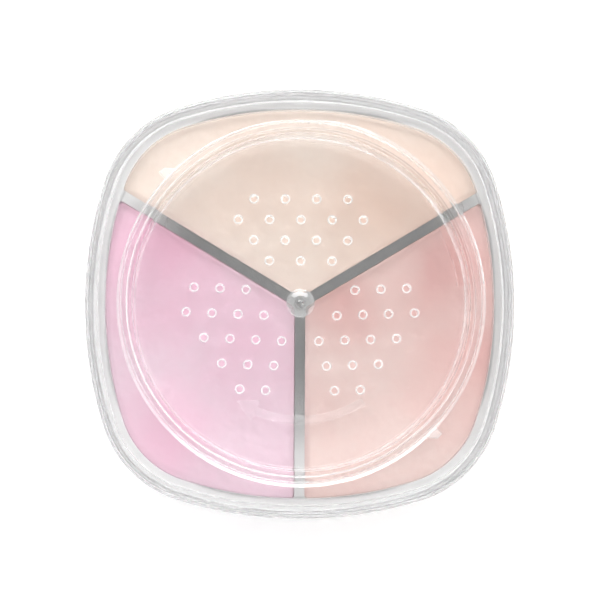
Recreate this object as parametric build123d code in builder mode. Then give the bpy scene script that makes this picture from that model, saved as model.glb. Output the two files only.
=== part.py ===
from build123d import *

import os
from math import cos, hypot, radians, sin, sqrt

# Three-shade loose powder jar: a clear soft-square case with a twist sifter in its round neck.
# Units are millimetres and degrees. The origin is the centre of the underside and +Z is up.
# Directions are angles about +Z from +X: beige is round 90, lilac round 210 and coral round 330.

# Outline: a soft square of eight tangent arcs, given at the outside of the case.
CASE_HALF_WIDTH = 38.0
SIDE_RADIUS = 71.7
CORNER_RADIUS = 20.0

# Outer case.
CASE_HEIGHT = 17.0
CASE_WALL = 2.1
CASE_FLOOR = 2.4
FOOT_WIDTH = 5.0
FOOT_RECESS = 0.4
BASE_FILLET = 2.6
RIM_FILLET = 0.8
LIP_HEIGHT = 0.35
LIP_OVERHANG = 0.3

# Play left between neighbouring parts: round the tray, and between faces that rest on each other.
SEAT_GAP = 0.1
FACE_GAP = 0.05

# Powder tray.
TRAY_WALL = 1.3
TRAY_FLOOR = 1.1
TRAY_TOP = 15.0
TRAY_BOTTOM_FILLET = 1.2
DIVIDER_THICKNESS = 1.8
ARM_DIRECTIONS = (31, 149, 270)
JUNCTION_FILLET = 0.6
POCKET_FILLET = 0.5
POWDER_DEPTH = 9.4
POWDER_GAP = 0.06

# Shoulder and neck.
SHOULDER_THICKNESS = 1.5
SHOULDER_FILLET = 0.25
NECK_RADIUS = 31.5
NECK_BORE = 30.2
NECK_TOP = 24.6
NECK_ROOT_FILLET = 0.5
THREAD_HEIGHT = 0.7
THREAD_PITCH = 3.6
THREAD_TURN = 414
THREAD_TOP_DIRECTION = 95
THREAD_TOP_DROP = 1.5
THREAD_FOOT_WIDTH = 1.7
THREAD_CREST_WIDTH = 0.6
THREAD_ROOT = 0.3
THREAD_RAMP = 24
THREAD_STEP = 9
LUG_DIRECTIONS = (134, 314)
LUG_REACH = 2.4
LUG_FOOT_WIDTH = 4.2
LUG_TIP_WIDTH = 1.2
LUG_ROOT = 1.0
LUG_HEIGHT = 1.5
LUG_CHAMFER = 0.2

# Fixed sifter cup.
CUP_RADIUS = 30.15
CUP_BORE = 29.1
CUP_FLOOR = 1.0
FLANGE_RADIUS = 31.25
FLANGE_THICKNESS = 0.8
FLANGE_FILLET = 0.35
SNAP_LEVEL = 21.5
SNAP_WIDTH = 0.6
SNAP_BEAD = 0.2
SNAP_GROOVE = 0.22

# Turning dial and its stop.
DIAL_RADIUS = 28.95
DIAL_THICKNESS = 1.0
DIAL_EDGE_FILLET = 0.2
CLOSING_TURN = 12
NOTCH_START = 6.5
NOTCH_END = 28.5
NOTCH_DEPTH = 1.1
STOP_CLEARANCE = 0.2

# Sifter holes: each shade has rows of 4, 5, 4 and 3 holes, outermost row first.
HOLE_ROWS = (4, 5, 4, 3)
COLUMN_PITCH = 5.53
ROW_PITCH = 3.64
HOLE_RADIUS = 0.55
RIM_RADIUS = 0.86
RIM_HEIGHT = 0.55
RIM_EDGE_FILLET = 0.14
# Centre radius, centre direction and turn of each group of holes.
HOLE_GROUPS = ((12.9, 90, 0), (12.15, 206, 125), (12.15, -26, -125))

# Arrow that shows which way the dial closes.
ARROW_RADIUS = 20.6
ARROW_WIDTH = 1.5
ARROW_HEAD_WIDTH = 4.2
ARROW_SWEEP = 66
ARROW_HEAD_SWEEP = 11
ARROW_RELIEF = 0.3
ARROW_CHAMFER = 0.14

# Snap pin at the hub.
PIN_HEAD_RADIUS = 2.5
PIN_HEAD_HEIGHT = 0.8
PIN_EDGE_HEIGHT = 0.25
PIN_RADIUS = 0.85
PIN_SEAT_GAP = 0.01
PIN_RUNNING_GAP = 0.05
SPIGOT_RADIUS = 0.55
SPIGOT_LENGTH = 3.6
SPIGOT_TIP_RADIUS = 0.35
SPIGOT_BORE = 0.57
GATE_RADIUS = 0.5
GATE_WIDTH = 0.22
GATE_HEIGHT = 0.12

# Levels worked out from the sizes above.
tray_bottom = CASE_FLOOR + SEAT_GAP
tray_inset = CASE_WALL + SEAT_GAP
pocket_inset = tray_inset + TRAY_WALL
pocket_floor = tray_bottom + TRAY_FLOOR
lid_plane = TRAY_TOP + FACE_GAP
shoulder_top = lid_plane + SHOULDER_THICKNESS
cup_floor_top = lid_plane + CUP_FLOOR
dial_bottom = cup_floor_top + FACE_GAP
dial_top = dial_bottom + DIAL_THICKNESS
flange_bottom = NECK_TOP + FACE_GAP
flange_top = flange_bottom + FLANGE_THICKNESS

# Each shade lies between two of the arms.
beige_arm, lilac_arm, coral_arm = ARM_DIRECTIONS
shades = {
    "beige": (beige_arm, lilac_arm),
    "lilac": (lilac_arm, coral_arm),
    "coral": (coral_arm, beige_arm + 360),
}


def polar(radius, direction):
    """Point at a radius and a direction in degrees."""
    return (radius * cos(radians(direction)), radius * sin(radians(direction)))


def soft_square(inset=0.0):
    """Face with the outline of the case, moved inwards by inset."""
    side_centre = SIDE_RADIUS - CASE_HALF_WIDTH
    reach = SIDE_RADIUS - CORNER_RADIUS
    corner = (sqrt(2 * reach**2 - side_centre**2) - side_centre) / 2
    side = SIDE_RADIUS - inset
    seam_x = (corner + side_centre) / reach * side - side_centre
    seam_y = corner / reach * side
    bulge = corner + (CORNER_RADIUS - inset) / sqrt(2)
    low = Vector(seam_x, -seam_y)
    middle = Vector(CASE_HALF_WIDTH - inset, 0)
    high = Vector(seam_x, seam_y)
    knee = Vector(bulge, bulge)
    last = Vector(seam_y, seam_x)
    with BuildSketch() as face:
        with BuildLine():
            for turn in (0, 90, 180, 270):
                ThreePointArc(*(point.rotate(Axis.Z, turn) for point in (low, middle, high)))
                ThreePointArc(*(point.rotate(Axis.Z, turn) for point in (high, knee, last)))
        make_face()
    return face.sketch


def compartment(start, end, gap=0.0):
    """Face of the compartment between two arms, drawn in from its walls by gap."""
    middle = (start + end) / 2
    half_wall = DIVIDER_THICKNESS / 2 + gap
    far = 3 * CASE_HALF_WIDTH
    apex = Vector(*polar(half_wall / sin(radians(end - middle)), middle))
    first = apex + Vector(*polar(far, start))
    last = apex + Vector(*polar(far, end))
    with BuildSketch() as face:
        add(soft_square(pocket_inset + gap))
        with BuildSketch(mode=Mode.INTERSECT):
            with BuildLine():
                Polyline(apex, first, Vector(*polar(2 * far, middle)), last, close=True)
            make_face()
        fillet(face.vertices().sort_by_distance((0, 0))[0], JUNCTION_FILLET - gap)
        arm_ends = [polar(CASE_HALF_WIDTH, arm) for arm in (start, end)]
        fillet([face.vertices().sort_by_distance(place)[0] for place in arm_ends], POCKET_FILLET - gap)
    return face.sketch


def outside_neck(point):
    """True for a point clear of the outside of the neck."""
    return hypot(point.X, point.Y) > NECK_RADIUS + LUG_CHAMFER


def ring_sector(inner, outer, start, end):
    """Face of a piece of a ring between two directions."""
    with BuildSketch() as face:
        with BuildLine():
            CenterArc((0, 0), outer, start, end - start)
            CenterArc((0, 0), inner, start, end - start)
            Line(polar(inner, start), polar(outer, start))
            Line(polar(inner, end), polar(outer, end))
        make_face()
    return face.sketch


def snap_profile(radius, rise):
    """Radial section of the snap bead or its groove, standing out from radius by rise."""
    crest = SNAP_WIDTH / 2 + rise
    foot = crest + 2 * rise
    with BuildSketch() as face:
        with BuildLine():
            Polyline(
                (radius - rise, SNAP_LEVEL - foot),
                (radius + rise, SNAP_LEVEL - crest),
                (radius + rise, SNAP_LEVEL + crest),
                (radius - rise, SNAP_LEVEL + foot),
                close=True,
            )
        make_face()
    return face.sketch


def hole_places():
    """Places of the sifter holes, as seen from above."""
    places = []
    for centre_radius, centre_direction, turn in HOLE_GROUPS:
        centre = Vector(*polar(centre_radius, centre_direction))
        for row, count in enumerate(HOLE_ROWS):
            row_y = ((len(HOLE_ROWS) - 1) / 2 - row) * ROW_PITCH
            for column in range(count):
                row_x = (column - (count - 1) / 2) * COLUMN_PITCH
                places.append(centre + Vector(row_x, row_y).rotate(Axis.Z, turn))
    return places


# ---------------------------------------------------------------- outer case
with BuildPart() as outer_case:
    with BuildSketch():
        add(soft_square())
    extrude(amount=CASE_HEIGHT)
    fillet(edges().group_by(Axis.Z)[0], BASE_FILLET)
    fillet(edges().group_by(Axis.Z)[-1], RIM_FILLET)
    with BuildSketch(Plane.XY.offset(CASE_FLOOR)):
        add(soft_square(CASE_WALL))
    extrude(amount=CASE_HEIGHT - LIP_HEIGHT - CASE_FLOOR, mode=Mode.SUBTRACT)
    # The mouth is a little narrower than the cavity, so the shoulder snaps in under its lip.
    with BuildSketch(Plane.XY.offset(CASE_FLOOR)):
        add(soft_square(CASE_WALL + LIP_OVERHANG))
    extrude(amount=CASE_HEIGHT, mode=Mode.SUBTRACT)
    with BuildSketch():
        add(soft_square(FOOT_WIDTH))
    extrude(amount=FOOT_RECESS, mode=Mode.SUBTRACT)

# --------------------------------------------------------------- powder tray
with BuildPart() as powder_tray:
    with BuildSketch(Plane.XY.offset(tray_bottom)):
        add(soft_square(tray_inset))
    extrude(amount=TRAY_TOP - tray_bottom)
    fillet(edges().group_by(Axis.Z)[0], TRAY_BOTTOM_FILLET)
    for start, end in shades.values():
        with BuildSketch(Plane.XY.offset(pocket_floor)):
            add(compartment(start, end))
        extrude(amount=TRAY_TOP, mode=Mode.SUBTRACT)
    with Locations((0, 0, TRAY_TOP)):
        Hole(SPIGOT_BORE, depth=SPIGOT_LENGTH + SEAT_GAP)

# --------------------------------------------------------------- powder fills
powders = {}
for shade, (start, end) in shades.items():
    with BuildPart() as powder:
        with BuildSketch(Plane.XY.offset(pocket_floor + POWDER_GAP)):
            add(compartment(start, end, POWDER_GAP))
        extrude(amount=POWDER_DEPTH)
    powders["powder_" + shade] = powder

# ---------------------------------------------------------- shoulder and neck
with BuildPart() as shoulder:
    with BuildSketch(Plane.XY.offset(lid_plane)):
        add(soft_square(tray_inset))
    extrude(amount=SHOULDER_THICKNESS)
    fillet(edges().group_by(Axis.Z)[-1], SHOULDER_FILLET)
    with BuildSketch(Plane.XY.offset(lid_plane)):
        Circle(NECK_RADIUS)
    extrude(amount=NECK_TOP - lid_plane)
    rings = edges().filter_by(GeomType.CIRCLE).filter_by(lambda e: abs(e.radius - NECK_RADIUS) < 0.01)
    fillet(rings.sort_by_distance((0, 0, shoulder_top))[0], NECK_ROOT_FILLET)
    # Stop lugs: the lid turns clockwise until its own lugs meet the steep sides.
    with BuildSketch(Plane.XY.offset(shoulder_top)):
        with PolarLocations(0, len(LUG_DIRECTIONS), start_angle=LUG_DIRECTIONS[0]):
            inner = NECK_RADIUS - LUG_ROOT
            outer = NECK_RADIUS + LUG_REACH
            Polygon(
                (inner, LUG_FOOT_WIDTH / 2),
                (outer, LUG_FOOT_WIDTH / 2),
                (outer, LUG_FOOT_WIDTH / 2 - LUG_TIP_WIDTH),
                (inner, -LUG_FOOT_WIDTH / 2),
                align=None,
            )
    extrude(amount=LUG_HEIGHT)
    lug_top = shoulder_top + LUG_HEIGHT
    lug_rims = edges().filter_by_position(Axis.Z, lug_top, lug_top)
    chamfer(lug_rims.filter_by(lambda e: outside_neck(e.center())), LUG_CHAMFER)
    # Thread: a ridge that climbs anticlockwise and fades into the neck at both ends.
    for step in range(0, THREAD_TURN + 1, THREAD_STEP):
        angle = THREAD_TOP_DIRECTION - THREAD_TURN + step
        fade = min(1, (step + 1) / THREAD_RAMP, (THREAD_TURN - step + 1) / THREAD_RAMP)
        level = NECK_TOP - THREAD_TOP_DROP - (THREAD_TURN - step) / 360 * THREAD_PITCH
        across = Plane(origin=(0, 0, level), x_dir=(*polar(1, angle), 0), z_dir=(*polar(1, angle + 90), 0))
        foot = NECK_RADIUS - THREAD_ROOT
        crest = NECK_RADIUS + THREAD_HEIGHT * fade
        with BuildSketch(across):
            Polygon(
                (foot, -THREAD_FOOT_WIDTH / 2),
                (foot, THREAD_FOOT_WIDTH / 2),
                (crest, THREAD_CREST_WIDTH / 2),
                (crest, -THREAD_CREST_WIDTH / 2),
                align=None,
            )
    loft()
    with BuildSketch(Plane.XY.offset(lid_plane)):
        Circle(NECK_BORE)
    extrude(amount=NECK_TOP, mode=Mode.SUBTRACT)
    # Groove for the snap bead of the cup.
    with BuildSketch(Plane.XZ):
        add(snap_profile(NECK_BORE, SNAP_GROOVE))
    revolve(axis=Axis.Z, mode=Mode.SUBTRACT)

# ---------------------------------------------------------------- sifter cup
with BuildPart() as sifter_cup:
    with BuildSketch(Plane.XZ):
        with BuildLine():
            Polyline(
                (0, lid_plane),
                (CUP_RADIUS, lid_plane),
                (CUP_RADIUS, flange_bottom),
                (FLANGE_RADIUS, flange_bottom),
                (FLANGE_RADIUS, flange_top),
                (CUP_BORE, flange_top),
                (CUP_BORE, cup_floor_top),
                (0, cup_floor_top),
                close=True,
            )
        make_face()
        add(snap_profile(CUP_RADIUS, SNAP_BEAD))
    revolve(axis=Axis.Z)
    fillet(edges().group_by(Axis.Z)[-1], FLANGE_FILLET)
    # Stop block on the wall, which stands in the notch of the dial.
    stop_start = NOTCH_START + STOP_CLEARANCE
    stop_end = NOTCH_END - CLOSING_TURN - STOP_CLEARANCE
    with BuildSketch(Plane.XY.offset(cup_floor_top)):
        add(ring_sector(DIAL_RADIUS - NOTCH_DEPTH + STOP_CLEARANCE, CUP_BORE + 0.2, stop_start, stop_end))
    extrude(amount=dial_top - cup_floor_top)
    with Locations(*[(p.X, p.Y, cup_floor_top) for p in hole_places()]):
        Hole(HOLE_RADIUS, depth=CUP_FLOOR)
    with Locations((0, 0, cup_floor_top)):
        Hole(PIN_RADIUS + PIN_SEAT_GAP, depth=CUP_FLOOR)

# --------------------------------------------------------------- sifter dial
with BuildPart() as sifter_dial:
    with BuildSketch(Plane.XY.offset(dial_bottom)):
        Circle(DIAL_RADIUS)
        notch = ring_sector(DIAL_RADIUS - NOTCH_DEPTH, DIAL_RADIUS + 1, NOTCH_START, NOTCH_END)
        add(notch, mode=Mode.SUBTRACT)
    extrude(amount=DIAL_THICKNESS)
    fillet(edges().group_by(Axis.Z)[-1].sort_by(SortBy.LENGTH)[-1], DIAL_EDGE_FILLET)
    # Each hole has a raised rim.
    with BuildSketch(Plane.XY.offset(dial_top)):
        with Locations(*[(p.X, p.Y) for p in hole_places()]):
            Circle(RIM_RADIUS)
    extrude(amount=RIM_HEIGHT)
    with Locations(*[(p.X, p.Y, dial_top + RIM_HEIGHT) for p in hole_places()]):
        Hole(HOLE_RADIUS, depth=RIM_HEIGHT + DIAL_THICKNESS)
    fillet(edges().group_by(Axis.Z)[-1], RIM_EDGE_FILLET)
    # Raised arrow, pointing clockwise.
    tail = 270 + ARROW_SWEEP / 2
    neck = 270 - ARROW_SWEEP / 2 + ARROW_HEAD_SWEEP
    with BuildSketch(Plane.XY.offset(dial_top)):
        add(ring_sector(ARROW_RADIUS - ARROW_WIDTH / 2, ARROW_RADIUS + ARROW_WIDTH / 2, neck, tail))
        with BuildLine():
            Polyline(
                polar(ARROW_RADIUS - ARROW_HEAD_WIDTH / 2, neck),
                polar(ARROW_RADIUS + ARROW_HEAD_WIDTH / 2, neck),
                polar(ARROW_RADIUS, neck - ARROW_HEAD_SWEEP),
                close=True,
            )
        make_face()
    extrude(amount=ARROW_RELIEF)
    arrow_top = dial_top + ARROW_RELIEF
    chamfer(edges().filter_by_position(Axis.Z, arrow_top, arrow_top), ARROW_CHAMFER)
    with Locations((0, 0, dial_top)):
        Hole(PIN_RADIUS + PIN_RUNNING_GAP, depth=DIAL_THICKNESS)

# ------------------------------------------------------------------- hub pin
with BuildPart() as hub_pin:
    head_bottom = dial_top + FACE_GAP
    edge_top = head_bottom + PIN_EDGE_HEIGHT
    head_top = head_bottom + PIN_HEAD_HEIGHT
    dome_rise = head_top - edge_top
    dome_radius = (PIN_HEAD_RADIUS**2 + dome_rise**2) / (2 * dome_rise)
    knee_x = PIN_HEAD_RADIUS / 2
    knee_z = head_top - dome_radius + sqrt(dome_radius**2 - knee_x**2)
    spigot_end = TRAY_TOP - SPIGOT_LENGTH
    with BuildSketch(Plane.XZ):
        with BuildLine():
            Polyline(
                (0, head_top),
                (0, spigot_end),
                (SPIGOT_TIP_RADIUS, spigot_end),
                (SPIGOT_RADIUS, spigot_end + SPIGOT_RADIUS),
                (SPIGOT_RADIUS, lid_plane),
                (PIN_RADIUS, lid_plane),
                (PIN_RADIUS, head_bottom),
                (PIN_HEAD_RADIUS, head_bottom),
                (PIN_HEAD_RADIUS, edge_top),
            )
            ThreePointArc((PIN_HEAD_RADIUS, edge_top), (knee_x, knee_z), (0, head_top))
        make_face()
    revolve(axis=Axis.Z)
    # Ring left by the moulding gate.
    with BuildSketch(Plane.XY.offset(head_top - GATE_HEIGHT)):
        Circle(GATE_RADIUS)
        Circle(GATE_RADIUS - GATE_WIDTH, mode=Mode.SUBTRACT)
    extrude(amount=2 * GATE_HEIGHT)

# -------------------------------------------------------------------- export
os.makedirs("parts", exist_ok=True)
nodes = {
    "outer_case": outer_case,
    "powder_tray": powder_tray,
    **powders,
    "neck_shoulder": shoulder,
    "sifter_cup": sifter_cup,
    "sifter_dial": sifter_dial,
    "hub_pin": hub_pin,
}
for label, node in nodes.items():
    node.part.label = label
    export_step(node.part, f"parts/{label}.step")
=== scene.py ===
import math

import bmesh
import bpy
from mathutils import Matrix, Vector, noise


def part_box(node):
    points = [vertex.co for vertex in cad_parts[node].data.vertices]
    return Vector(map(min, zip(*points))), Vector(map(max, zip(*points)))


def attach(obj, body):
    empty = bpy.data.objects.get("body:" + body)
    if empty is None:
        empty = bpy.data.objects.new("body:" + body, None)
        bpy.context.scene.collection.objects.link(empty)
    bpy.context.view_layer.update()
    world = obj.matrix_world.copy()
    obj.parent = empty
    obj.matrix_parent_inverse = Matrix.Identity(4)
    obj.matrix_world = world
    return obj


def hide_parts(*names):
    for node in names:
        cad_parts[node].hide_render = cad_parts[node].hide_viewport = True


# Looks of the three-shade powder jar. Lengths are metres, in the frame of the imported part: the origin
# is the centre of the underside, +Z is up, and the back of the jar, where the beige lies, is at +Y.
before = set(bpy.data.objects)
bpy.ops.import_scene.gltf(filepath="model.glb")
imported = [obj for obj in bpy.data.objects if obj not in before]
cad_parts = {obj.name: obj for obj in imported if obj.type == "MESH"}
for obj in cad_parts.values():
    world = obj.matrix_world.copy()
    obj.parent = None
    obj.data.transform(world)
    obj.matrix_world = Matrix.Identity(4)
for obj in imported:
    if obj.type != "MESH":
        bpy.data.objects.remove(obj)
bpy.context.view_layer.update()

MM = 0.001

# Levels and sizes of the clear parts. A skin is how far down the haze and painted light on a top goes.
DIAL_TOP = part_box("sifter_dial")[1].z
DIAL_FACE = DIAL_TOP - 0.5 * MM
RIM_SKIN = 0.22 * MM
TRAY_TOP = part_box("powder_tray")[1].z
TRAY_SKIN = 0.5 * MM
SHOULDER_TOP = 16.55 * MM
LUG_TOP = 18.05 * MM
NECK_RADIUS = 31.5 * MM
# Distances from the axis between which the haze and painted highlight of the lugs set in.
LUG_START, LUG_FULL = NECK_RADIUS + 0.1 * MM, NECK_RADIUS + 0.3 * MM
# The outline of the jar is close to |x|^p + |y|^p = constant.
OUTLINE_POWER = 2.66
# Half width of the soft square where the divider arms end and the outer walls start.
WALL_START = 34.0 * MM
WALL_FADE = 0.8 * MM
# Height over which haze and painted light set in.
LEVEL_FADE = 0.1 * MM
# Painted light on the tops of the walls, as a white skin, grows with these shares of x and |y|: to the left,
# and to the front and back. It grows over this distance each way, from this least share.
WALL_PAINTED_LIGHT_ALONG = (-0.35, 0.94)
WALL_PAINTED_LIGHT_REACH = 30 * MM
LEAST_WALL_PAINTED_LIGHT = 0.6
# Painted light: the arms turn from grey to pale between these distances from a point behind the hub, as if
# lit through the case wall near their ends.
ARM_PAINTED_LIGHT_CENTRE = (3 * MM, 8 * MM, 13 * MM)
ARM_PAINTED_LIGHT_START = 23.0 * MM
ARM_PAINTED_LIGHT_END = 35.0 * MM
ARM_PAINTED_LIGHT = 0.74
# Share of hazy skin with painted highlight on the neck.
NECK_HAZE_AND_HIGHLIGHT = 0.12
# Share of hazy skin with painted highlight on the arrow.
ARROW_HAZE_AND_HIGHLIGHT = 0.14


# ------------------------------------------------------------------ node trees
def grey(value):
    return (value, value, value, 1.0)


class Shader:
    """Builds the node tree of a material or a world. Inputs are given as values or as sockets."""

    def __init__(self, owner, output):
        owner.use_nodes = True
        self.owner = owner
        self.tree = owner.node_tree
        self.tree.nodes.clear()
        self.output = self.tree.nodes.new("ShaderNodeOutput" + output)

    def put(self, socket, value):
        if isinstance(value, bpy.types.NodeSocket):
            self.tree.links.new(value, socket)
        else:
            socket.default_value = value

    def add(self, kind, inputs=None, **settings):
        """New node of a kind, with its settings and with inputs by name or number."""
        node = self.tree.nodes.new("ShaderNode" + kind)
        for name, value in settings.items():
            setattr(node, name, value)
        for name, value in (inputs or {}).items():
            self.put(node.inputs[name], value)
        return node

    def position(self):
        return self.add("TexCoord").outputs["Object"]

    def axis(self, name):
        return self.add("SeparateXYZ", {0: self.position()}).outputs[name]

    def distance(self, point):
        node = self.add("VectorMath", {0: self.position(), 1: point}, operation="DISTANCE")
        return node.outputs["Value"]

    def noise(self, size, detail=2.0, roughness=0.5, distortion=0.0):
        """Smooth noise from 0 to 1 whose features are about size metres across."""
        inputs = {
            "Vector": self.position(),
            "Scale": 1 / size,
            "Detail": detail,
            "Roughness": roughness,
            "Distortion": distortion,
        }
        return self.add("TexNoise", inputs).outputs["Fac"]

    def spread(self, value, low, high, to_low=0.0, to_high=1.0):
        """Carries value from the range low..high to the range to_low..to_high, clamped."""
        inputs = {"Value": value, "From Min": low, "From Max": high, "To Min": to_low, "To Max": to_high}
        return self.add("MapRange", inputs).outputs["Result"]

    def math(self, operation, a, b=0.0):
        return self.add("Math", {0: a, 1: b}, operation=operation).outputs[0]

    def times(self, a, b):
        return self.math("MULTIPLY", a, b)

    def blend(self, factor, first, second):
        """Colour between first and second."""
        return self.add("Mix", {"Factor": factor, 6: first, 7: second}, data_type="RGBA").outputs[2]

    def mix(self, share, first, second):
        """Surface between first and second."""
        return self.add("MixShader", {0: share, 1: first, 2: second}).outputs[0]

    def bump(self, height, distance, normal=None):
        inputs = {"Height": height, "Distance": distance}
        if normal is not None:
            inputs["Normal"] = normal
        return self.add("Bump", inputs).outputs["Normal"]

    def finish(self, surface):
        self.put(self.output.inputs["Surface"], surface)
        return self.owner


def new_material(name):
    return Shader(bpy.data.materials.new(name), "Material")


# ------------------------------------------------------------------ where the plastic is hazy, and where light is painted on it
def reach(s):
    """Half width of the soft square through the shaded point."""
    parts = [s.math("POWER", s.math("ABSOLUTE", s.axis(name)), OUTLINE_POWER) for name in ("X", "Y")]
    return s.math("POWER", s.math("ADD", *parts), 1 / OUTLINE_POWER)


def walls(s):
    """1 in the outer walls, 0 in the arms and plates."""
    return s.spread(reach(s), WALL_START, WALL_START + WALL_FADE)


def above(s, level):
    """1 above a height, 0 below it."""
    return s.spread(s.axis("Z"), level, level + LEVEL_FADE)


def tray_painted_light(s):
    """Painted light on top of the tray, as a white skin: on its walls, least at the right, and on the outer
    ends of its arms, which are painted pale where light leaks in through the case wall.
    """
    x_share, y_share = WALL_PAINTED_LIGHT_ALONG
    lean = s.math("ADD", s.times(s.axis("X"), x_share), s.times(s.math("ABSOLUTE", s.axis("Y")), y_share))
    in_walls = s.times(walls(s), s.spread(lean, -WALL_PAINTED_LIGHT_REACH, WALL_PAINTED_LIGHT_REACH, LEAST_WALL_PAINTED_LIGHT, 1.0))
    outer_arms = s.spread(s.distance(ARM_PAINTED_LIGHT_CENTRE), ARM_PAINTED_LIGHT_START, ARM_PAINTED_LIGHT_END, 0.0, ARM_PAINTED_LIGHT)
    in_arms = s.times(outer_arms, s.math("SUBTRACT", 1.0, walls(s)))
    return s.times(s.math("MAXIMUM", in_walls, in_arms), above(s, TRAY_TOP - TRAY_SKIN))


def neck_haze_and_painted_highlight(s):
    """Hazy skin with painted highlight on the stop lugs, and a little on the neck. The shoulder is clear."""
    flat = s.add("VectorMath", {0: s.position(), 1: (1, 1, 0)}, operation="MULTIPLY").outputs[0]
    radius = s.add("VectorMath", {0: flat}, operation="LENGTH").outputs["Value"]
    outside = s.spread(radius, LUG_START, LUG_FULL)
    low = s.math("SUBTRACT", above(s, SHOULDER_TOP), above(s, LUG_TOP))
    return s.math("MAXIMUM", s.times(outside, low), s.times(above(s, SHOULDER_TOP), NECK_HAZE_AND_HIGHLIGHT))


def dial_haze_and_painted_highlight(s):
    """Hazy skin with painted highlight on the rims round the holes, which paints them as white rings, and a
    little on the arrow.
    """
    return s.math("MAXIMUM", above(s, DIAL_TOP - RIM_SKIN), s.times(above(s, DIAL_FACE), ARROW_HAZE_AND_HIGHLIGHT))


# ------------------------------------------------------------------ clear plastic
PLASTIC_IOR = 1.49
CLEAR = (0.998, 1.0, 0.999, 1.0)
CLEAR_SHADE = tuple(0.99 * c for c in CLEAR[:3]) + (1.0,)
# Colours of the white skin: a hazy finish on the case, painted light on the tray, a hazy finish with painted
# highlight on the neck and dial.
FROST_AND_HIGHLIGHT = (0.86, 0.865, 0.87, 1.0)
WHITE_FROST_AND_LIGHT = grey(0.95)
MIRROR_POLISH = (0.006, 0.02)
SATIN_POLISH = (0.03, 0.06)
# Faint ripples left by the moulding.
FLOW_SIZE = 6 * MM
FLOW_DEPTH = 0.003 * MM
# Share of the scattered light that goes on through the plastic.
FROST_THROUGH = 0.4


def clear_plastic(
    name, skin_mask=None, frost_and_light=0.0, frost_and_light_colour=WHITE_FROST_AND_LIGHT, smoke_and_shade=0.0, polish=MIRROR_POLISH, gloss=0.0
):
    """Clear moulded plastic: faint flow ripples and a slightly uneven tint and polish.

    frost is the share of light that the skin scatters, where the mask that haze builds is 1; this white skin
    is a hazy finish on the case, painted light on the tray, and a hazy finish with painted highlight on the
    neck and dial.
    smoke is the absorption per metre, which shows only where the plastic is looked at edge-on; in the tray it
    is painted shade that greys the divider arms.
    gloss is the refractive index of a bright outer skin.
    """
    s = new_material(name)
    flow = s.noise(FLOW_SIZE, detail=1)
    plastic = {
        "Base Color": s.blend(flow, CLEAR, CLEAR_SHADE),
        "Roughness": s.spread(flow, 0.3, 0.7, *polish),
        "IOR": PLASTIC_IOR,
        "Transmission Weight": 1.0,
        "Normal": s.bump(flow, FLOW_DEPTH),
    }
    if gloss:
        plastic["Coat Weight"] = 1.0
        plastic["Coat IOR"] = gloss
    surface = s.add("BsdfPrincipled", plastic).outputs[0]
    # The white skin: a hazy finish, and on the tray, neck and dial also painted light and painted highlight.
    if skin_mask:
        through = s.add("BsdfTranslucent", {"Color": frost_and_light_colour}).outputs[0]
        back = s.add("BsdfDiffuse", {"Color": frost_and_light_colour}).outputs[0]
        surface = s.mix(s.times(skin_mask(s), frost_and_light), surface, s.mix(FROST_THROUGH, back, through))
    # In the tray this absorption is painted shade that greys the divider arms seen from above.
    if smoke_and_shade:
        absorb = s.add("VolumeAbsorption", {"Color": grey(0.0), "Density": smoke_and_shade})
        s.put(s.output.inputs["Volume"], absorb.outputs[0])
    return s.finish(surface)


def dress(node, material):
    """Gives a CAD node its material."""
    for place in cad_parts[node].material_slots:
        place.link = "OBJECT"
        place.material = material


case = clear_plastic("case_plastic", walls, frost_and_light=0.15, frost_and_light_colour=FROST_AND_HIGHLIGHT, smoke_and_shade=0.8, polish=SATIN_POLISH)
dress("outer_case", case)
# The tray's white skin is painted light, and its absorption is painted shade on the arms.
dress("powder_tray", clear_plastic("tray_plastic", tray_painted_light, frost_and_light=0.9, smoke_and_shade=38))
dress("neck_shoulder", clear_plastic("neck_plastic", neck_haze_and_painted_highlight, frost_and_light=0.35))
dress("sifter_cup", clear_plastic("cup_plastic"))
dress("sifter_dial", clear_plastic("dial_plastic", dial_haze_and_painted_highlight, frost_and_light=0.6, frost_and_light_colour=FROST_AND_HIGHLIGHT))
dress("hub_pin", clear_plastic("pin_plastic", gloss=1.7))


# ------------------------------------------------------------------ loose powder
POWDER_TOP = 13 * MM
GRAIN_SIZE, GRAIN_DEPTH = 0.16 * MM, 0.02 * MM
CLUMP_SIZE, CLUMP_DEPTH = 1.3 * MM, 0.05 * MM
CLOUD_SIZE, CLOUD_STRENGTH = 14 * MM, 0.22
# The strip of powder outside the neck lies between these half widths, and is painted this much paler at the
# front, as painted light against the shade that the neck casts there.
STRIP_START, STRIP_END = 27 * MM, 33 * MM
FRONT_PAINTED_LIGHT = 0.14


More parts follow.
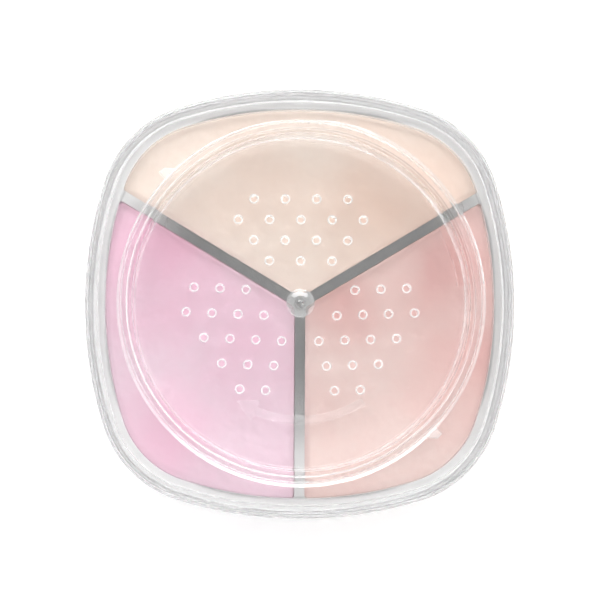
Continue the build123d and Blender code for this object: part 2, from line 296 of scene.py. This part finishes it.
def powder_material(name, pale, deep, cores):
    """Loose pressed-down powder: soft cloudy patches, clumps and a fine grain. The deep and pale patches are
    partly the powder's own uneven tone and partly painted light: painted shade, and a painted pale reflection
    veil of the clear plates above.

    cores are the places where the colour is deepest: (x, y, reach, depth), in millimetres and from 0 to 1.
    """
    s = new_material(name)
    depth = 0.0
    for x, y, radius, strength in cores:
        away = s.distance((x * MM, y * MM, POWDER_TOP))
        depth = s.math("MAXIMUM", depth, s.spread(away, 0.0, radius * MM, strength, 0.0))
    clouds = s.noise(CLOUD_SIZE, detail=3, roughness=0.45, distortion=0.3)
    deeper = s.math("ADD", depth, s.spread(clouds, 0.3, 0.7, -CLOUD_STRENGTH, CLOUD_STRENGTH))
    base = s.blend(s.spread(deeper, 0.0, 1.0), pale, deep)
    grain = s.noise(GRAIN_SIZE, detail=4, roughness=0.75)
    speckled = s.blend(s.spread(grain, 0.3, 0.75, 0.0, 0.10), base, grey(0.96))
    clumps = s.noise(CLUMP_SIZE, detail=4, roughness=0.6)
    dusty = s.blend(s.spread(clumps, 0.35, 0.6, 0.10, 0.0), speckled, deep)
    # Painted light: the front of the outer strip is lifted against the shade of the neck.
    front = s.spread(s.axis("Y"), 0.0, -WALL_START, 0.0, FRONT_PAINTED_LIGHT)
    outside_neck = s.spread(reach(s), STRIP_START, STRIP_END)
    painted_lift = s.math("ADD", 1.0, s.times(front, outside_neck))
    colour = s.add("VectorMath", {0: dusty, "Scale": painted_lift}, operation="SCALE").outputs[0]
    powder = {
        "Base Color": colour,
        "Roughness": s.spread(grain, 0.2, 0.8, 0.82, 0.98),
        "Specular IOR Level": 0.15,
        "Normal": s.bump(grain, GRAIN_DEPTH, normal=s.bump(clumps, CLUMP_DEPTH)),
    }
    return s.finish(s.add("BsdfPrincipled", powder).outputs[0])


OUTLINE_POINTS = 420
POWDER_RINGS = 110
# Below 1, so that the rings lie a little closer together towards the walls.
RING_POWER = 0.9
# Unevenness of the powder: size of the swells, their height in millimetres, and their share of the offset.
SWELLS = ((11 * MM, 0.42, 1), (4 * MM, 0.13, -1), (1.6 * MM, 0.06, 2))
OFFSET_PER_SEED = (0.37, 0.61, 0.13)
# Towards the walls, within this share of the width, the powder flattens to this share of its swells and dips.
CALM_SHARE = 0.06
CALM_SWELL = 0.35
DIP_MM = 0.25
# The middle height of the powder lies this far below the top of its CAD block.
DROP_MM = 0.1
# The sides start this far down, in rings at these shares of the rest of the height.
SHOULDER_DROP = 0.6 * MM
SIDE_RINGS = (0.75, 0.5, 0.25, 0.0)


def outline_of(node):
    """Evenly spaced points round the convex top outline of a CAD node, as seen from above."""
    flat = bmesh.new()
    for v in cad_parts[node].data.vertices:
        flat.verts.new((v.co.x, v.co.y, 0))
    hull = bmesh.ops.convex_hull(flat, input=flat.verts)
    rim = sorted({v for v in hull["geom"] if isinstance(v, bmesh.types.BMVert)}, key=lambda v: v.index)
    middle = sum((v.co for v in rim), Vector()) / len(rim)
    corners = sorted((v.co.copy() for v in rim), key=lambda p: math.atan2(p.y - middle.y, p.x - middle.x))
    flat.free()
    steps = [(b - a).length for a, b in zip(corners, corners[1:] + corners[:1])]
    total = sum(steps)
    points, edge, passed = [], 0, 0.0
    for i in range(OUTLINE_POINTS):
        along = total * i / OUTLINE_POINTS
        while passed + steps[edge] < along:
            passed += steps[edge]
            edge += 1
        share = (along - passed) / steps[edge]
        points.append(corners[edge].lerp(corners[(edge + 1) % len(corners)], share))
    return points


def powder_heap(name, node, material, seed):
    """Closed mesh of one shade of powder, gently uneven and calmer towards its walls."""
    low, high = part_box(node)
    rim = outline_of(node)
    middle = sum(rim, Vector()) / len(rim)
    offset = Vector([seed * step for step in OFFSET_PER_SEED])

    def height(p, share):
        swell = sum(noise.noise(p / size + offset * part) * tall for size, tall, part in SWELLS)
        calm = min(1.0, (1.0 - share) / CALM_SHARE)
        uneven = swell * (CALM_SWELL + (1 - CALM_SWELL) * calm)
        return high.z + (uneven - DROP_MM - DIP_MM * (1 - calm) ** 2) * MM

    mesh = bmesh.new()
    centre = mesh.verts.new((middle.x, middle.y, height(middle, 0)))
    rings = []
    for r in range(1, POWDER_RINGS + 1):
        share = (r / POWDER_RINGS) ** RING_POWER
        flat = [middle.lerp(p, share) for p in rim]
        rings.append([mesh.verts.new((p.x, p.y, height(p, share))) for p in flat])
    shoulder = high.z - SHOULDER_DROP
    for share in SIDE_RINGS:
        rings.append([mesh.verts.new((p.x, p.y, low.z + (shoulder - low.z) * share)) for p in rim])
    pairs = [(i, (i + 1) % OUTLINE_POINTS) for i in range(OUTLINE_POINTS)]
    for inner, outer in zip(rings, rings[1:]):
        for i, j in pairs:
            mesh.faces.new((inner[i], outer[i], outer[j], inner[j]))
    for i, j in pairs:
        mesh.faces.new((centre, rings[0][i], rings[0][j]))
    mesh.faces.new(reversed(rings[-1]))
    bmesh.ops.recalc_face_normals(mesh, faces=mesh.faces)
    for face in mesh.faces:
        face.smooth = len(face.verts) < 5
    data = bpy.data.meshes.new(name)
    mesh.to_mesh(data)
    mesh.free()
    data.materials.append(material)
    heap = bpy.data.objects.new(name, data)
    bpy.context.scene.collection.objects.link(heap)
    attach(heap, "jar")
    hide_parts(node)


# Deep patches of each shade: partly the powder's own tone and partly painted shade, with the pale colour
# between them partly a painted reflection veil.
LILAC_CORES = ((-23, 11, 22, 1.0), (-26, -24, 14, 0.45), (-8, -7, 14, 0.55))
BEIGE_CORES = ((19, 17, 20, 1.0), (-8, 17, 14, 0.3))
CORAL_CORES = ((25, 7, 21, 1.0), (8, 1, 12, 1.0), (35, -8, 22, 1.0))
lilac = powder_material("lilac_powder", (0.600, 0.438, 0.512, 1), (0.640, 0.335, 0.455, 1), LILAC_CORES)
beige = powder_material("beige_powder", (0.665, 0.560, 0.492, 1), (0.580, 0.405, 0.325, 1), BEIGE_CORES)
coral = powder_material("coral_powder", (0.607, 0.462, 0.432, 1), (0.530, 0.285, 0.268, 1), CORAL_CORES)
powder_heap("lilac_powder", "powder_lilac", lilac, seed=3)
powder_heap("beige_powder", "powder_beige", beige, seed=8)
powder_heap("coral_powder", "powder_coral", coral, seed=5)


# ------------------------------------------------------------------ studio
FLOOR_HALF_WIDTH = 1.5
FLOOR_DROP = 0.05 * MM


def build_floor():
    """Plain white table just under the jar."""
    s = new_material("white_table")
    mottle = s.noise(60 * MM, detail=3)
    colour = s.blend(s.spread(mottle, 0.3, 0.7), grey(0.975), grey(0.985))
    surface = s.add("BsdfPrincipled", {"Base Color": colour, "Roughness": 0.55}).outputs[0]
    mesh = bpy.data.meshes.new("table")
    half = FLOOR_HALF_WIDTH
    corners = [(x * half, y * half, -FLOOR_DROP) for x, y in ((-1, -1), (1, -1), (1, 1), (-1, 1))]
    mesh.from_pydata(corners, [], [(0, 1, 2, 3)])
    mesh.materials.append(s.finish(surface))
    table = bpy.data.objects.new("table", mesh)
    bpy.context.scene.collection.objects.link(table)


# Room brightness by height: (angle from straight up in degrees, brightness), faded between neighbours.
ROOM = ((14, 0.7), (24, 1.34), (75, 1.34), (89, 1.02))
# Far to the left and right the room has this share of its brightness. It starts to dim where the sideways
# part of the direction is at SIDE_START.
SIDE_DIM = 0.7
SIDE_START = 0.5
# Soft boxes painted on the room: direction, half width and half height in degrees, and added brightness.
SOFT_BOXES = (
    ((0.0, 0.83, 0.56), 27, 11, 3.0),
    ((0.0, 0.57, 0.82), 44, 7, 5.6),
)
# They fade out between these shares of their half width and half height.
BOX_FADE = (0.8, 1.1)


def build_world():
    """Pale room with a dim ceiling spot, a bright belt round it, and soft boxes behind the jar."""
    world = bpy.data.worlds.new("room")
    bpy.context.scene.world = world
    s = Shader(world, "World")
    axes = s.add("SeparateXYZ", {0: s.add("TexCoord").outputs["Generated"]})
    fall = s.math("ARCCOSINE", axes.outputs["Z"])
    light = ROOM[0][1]
    for (start, before), (end, after) in zip(ROOM, ROOM[1:]):
        step = s.spread(fall, math.radians(start), math.radians(end), 0.0, after - before)
        light = s.math("ADD", light, step)
    sideways = s.math("ABSOLUTE", axes.outputs["X"])
    light = s.times(light, s.spread(sideways, SIDE_START, 1.0, 1.0, SIDE_DIM))
    turn = s.math("ARCTAN2", axes.outputs["Y"], axes.outputs["X"])
    for towards, half_width, half_height, brightness in SOFT_BOXES:
        towards = Vector(towards).normalized()
        off_turn = s.math("SUBTRACT", turn, math.atan2(towards.y, towards.x))
        off_fall = s.math("SUBTRACT", fall, math.acos(towards.z))
        wide = s.math("DIVIDE", off_turn, math.radians(half_width))
        high = s.math("DIVIDE", off_fall, math.radians(half_height))
        far = s.math("MAXIMUM", s.math("ABSOLUTE", wide), s.math("ABSOLUTE", high))
        light = s.math("ADD", light, s.spread(far, *BOX_FADE, brightness, 0.0))
    s.finish(s.add("Background", {"Color": grey(1.0), "Strength": light}).outputs[0])


LOOK_DISTANCE = 0.37
TILT_BACK = math.radians(2.0)
TILT_SIDE = math.radians(1.52)
ROLL = math.radians(0.29)
PICTURE_WIDTH = 0.10589
# Share of the picture by which the view is slid.
SLIDE = (-0.0007, 0.0052)
SENSOR = 36.0


def build_camera():
    """Camera almost straight above the jar, a little towards its front."""
    rim_centre = Vector((0, 0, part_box("outer_case")[1].z))
    away = Vector((-math.sin(TILT_SIDE), -math.sin(TILT_BACK), math.cos(TILT_BACK))).normalized()
    data = bpy.data.cameras.new("camera")
    data.sensor_width = SENSOR
    data.lens = SENSOR * LOOK_DISTANCE / PICTURE_WIDTH
    data.shift_x, data.shift_y = SLIDE
    data.clip_start = 0.01
    camera = bpy.data.objects.new("camera", data)
    bpy.context.scene.collection.objects.link(camera)
    camera.location = rim_centre + away * LOOK_DISTANCE
    right = Vector((0, 1, 0)).cross(away).normalized()
    aim = Matrix((right, away.cross(right), away)).transposed()
    camera.rotation_euler = (aim @ Matrix.Rotation(ROLL, 3, "Z")).to_euler()
    bpy.context.scene.camera = camera


CLEAR_BOUNCES = 128


def set_light_paths():
    """Long, sharp light paths, because light crosses many clear surfaces on its way."""
    scene = bpy.context.scene
    scene.view_settings.view_transform = "Standard"
    scene.cycles.max_bounces = CLEAR_BOUNCES
    scene.cycles.transmission_bounces = CLEAR_BOUNCES
    scene.cycles.glossy_bounces = CLEAR_BOUNCES
    scene.cycles.diffuse_bounces = 4
    scene.cycles.transparent_max_bounces = 48
    scene.cycles.sample_clamp_indirect = 8.0
    scene.cycles.blur_glossy = 0.0


build_floor()
build_world()
build_camera()
set_light_paths()
